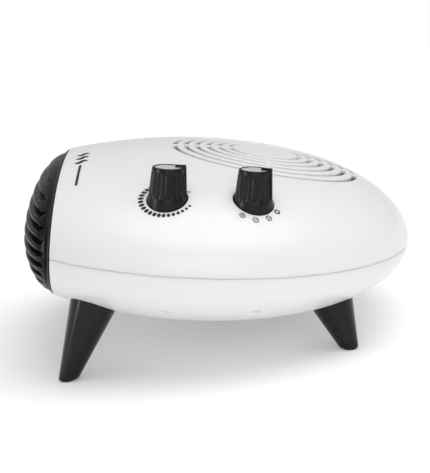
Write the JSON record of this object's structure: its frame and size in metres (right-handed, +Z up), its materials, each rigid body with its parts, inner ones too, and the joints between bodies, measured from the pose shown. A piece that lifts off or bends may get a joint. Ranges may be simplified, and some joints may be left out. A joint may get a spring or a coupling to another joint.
{
  "type": "ceramic fan heater",
  "caption": "Round flattened tabletop fan heater on four splayed legs, with a domed louvred outlet, two upright dials and a ring-slot intake in its top.",
  "frame": {"origin": "centre of the object's footprint box, on the surface it stands on", "axes": "+Z up, -Y the way the outlet grille faces, +X the side that carries the two dials"},
  "size_m": [0.268, 0.2412, 0.1262],
  "materials": {
    "shell": "smooth white moulding, soft gloss",
    "grille_black": "satin black",
    "leg_black": "satin black moulding",
    "knob_black": "satin black, fluted",
    "cap_grey": "light grey disc",
    "rubber": "matt",
    "steel": "zinc plated",
    "motor_steel": "plain can",
    "brass": "turned",
    "control_plastic": "natural nylon",
    "fins": "folded strip",
    "ceramic": "ceramic bar, unglazed",
    "fan_plastic": "moulded",
    "gland_black": "moulded",
    "duct_plastic": "heat-resistant moulding"
  },
  "bodies": {
    "heater": {"ceramic_bar_1": "ceramic", "ceramic_bar_2": "ceramic", "ceramic_bar_3": "ceramic", "clamp_screw_left": "steel", "clamp_screw_right": "steel", "control_bracket": "steel", "cord_clamp": "duct_plastic", "cord_gland": "gland_black", "duct_cover": "duct_plastic", "duct_tray": "duct_plastic", "element_frame": "duct_plastic", "fan_motor": "motor_steel", "fin_pack_1": "fins", "fin_pack_2": "fins", "fin_pack_3": "fins", "fin_pack_4": "fins", "foot_pad_front_left": "rubber", "foot_pad_front_right": "rubber", "foot_pad_rear_left": "rubber", "foot_pad_rear_right": "rubber", "leg_front_left": "leg_black", "leg_front_right": "leg_black", "leg_rear_left": "leg_black", "leg_rear_right": "leg_black", "leg_screw_front_left": "steel", "leg_screw_front_right": "steel", "leg_screw_rear_left": "steel", "leg_screw_rear_right": "steel", "lower_shell": "shell", "motor_bracket": "steel", "outlet_bezel": "grille_black", "outlet_grille": "grille_black", "overheat_cutout": "steel", "selector_body": "control_plastic", "selector_nut": "steel", "shell_screw_front_left": "steel", "shell_screw_front_right": "steel", "shell_screw_rear_left": "steel", "shell_screw_rear_right": "steel", "terminal_block": "control_plastic", "thermal_fuse": "brass", "thermostat_body": "control_plastic", "thermostat_nut": "steel", "upper_shell": "shell"},
    "thermostat_dial": {"thermostat_knob": "knob_black", "thermostat_knob_cap": "cap_grey", "thermostat_shaft": "brass"},
    "selector_dial": {"selector_knob": "knob_black", "selector_knob_cap": "cap_grey", "selector_shaft": "brass"},
    "fan": {"fan_impeller": "fan_plastic", "motor_shaft": "steel"}
  },
  "joints": [
    {"name": "thermostat_turn", "type": "hinge", "parent": "heater", "child": "thermostat_dial", "pos_m": [0.0973, -0.02638, 0.10972], "axis": [0, -0.1219, -0.9925], "range_deg": [0, 270]},
    {"name": "selector_turn", "type": "hinge", "parent": "heater", "child": "selector_dial", "pos_m": [0.0948, 0.02255, 0.10371], "axis": [0, -0.1219, -0.9925], "range_deg": [0, 93]},
    {"name": "fan_spin", "type": "hinge", "parent": "heater", "child": "fan", "pos_m": [0, 0.0278, 0.06276], "axis": [0, 0.1219, 0.9925], "continuous": true}
  ]
}
